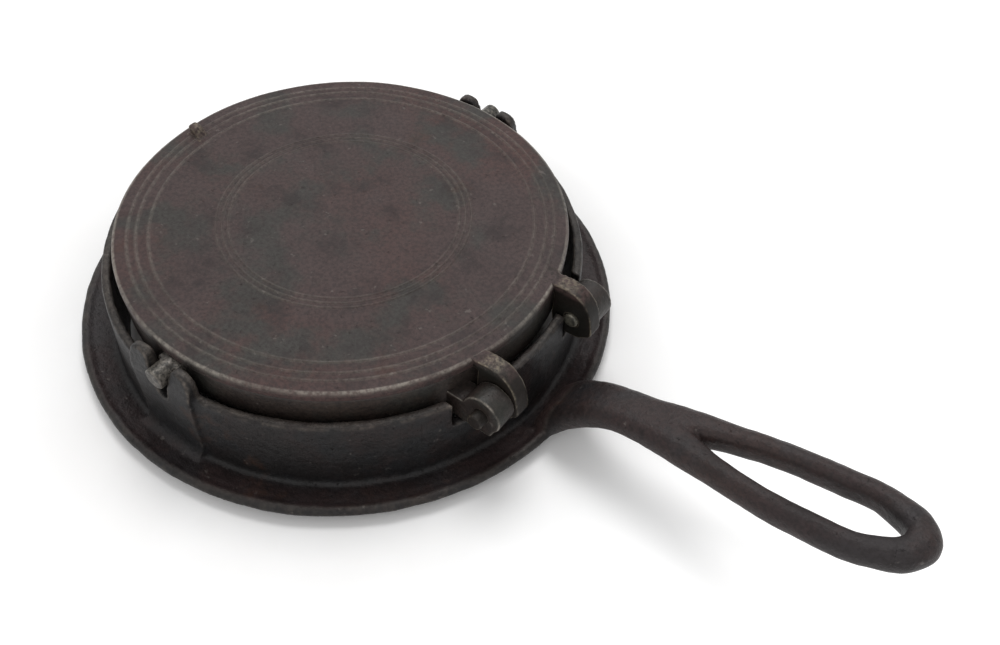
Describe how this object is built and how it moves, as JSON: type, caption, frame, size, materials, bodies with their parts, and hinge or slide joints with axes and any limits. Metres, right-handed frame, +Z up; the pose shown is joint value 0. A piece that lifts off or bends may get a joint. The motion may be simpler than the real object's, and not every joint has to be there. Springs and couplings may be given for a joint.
{
  "type": "stovetop waffle iron",
  "caption": "Round cast iron stovetop waffle iron: a low ring base with a loop handle carries hinged plates that open and turn over.",
  "frame": {"origin": "on the axis of the ring base, level with the underside of its stove lip", "axes": "+Z up along the ring's axis, +X along the handle, Y along the trunnions and hinge pins"},
  "size_m": [0.379, 0.238, 0.0592],
  "materials": {
    "base_iron": "seasoned black iron, browner and smoother on the handle",
    "lower_iron": "seasoned cast iron with worn edges",
    "upper_iron": "seasoned cast iron with a brownish grey patina, worn bright at the edges",
    "pin_iron": "plain iron pin, darkened by use"
  },
  "bodies": {
    "base": {"ring_base": "base_iron"},
    "lower": {"lower_plate": "lower_iron", "hinge_pin_left": "pin_iron", "hinge_pin_right": "pin_iron"},
    "upper": {"upper_plate": "upper_iron"}
  },
  "joints": [
    {"name": "plate_flip", "type": "hinge", "parent": "base", "child": "lower", "pos_m": [0, 0, 0.0435], "axis": [0, -1, 0], "range_deg": [0, 180]},
    {"name": "plate_open", "type": "hinge", "parent": "lower", "child": "upper", "pos_m": [0.103, 0, 0.0375], "axis": [0, 1, 0], "range_deg": [0, 110]}
  ]
}
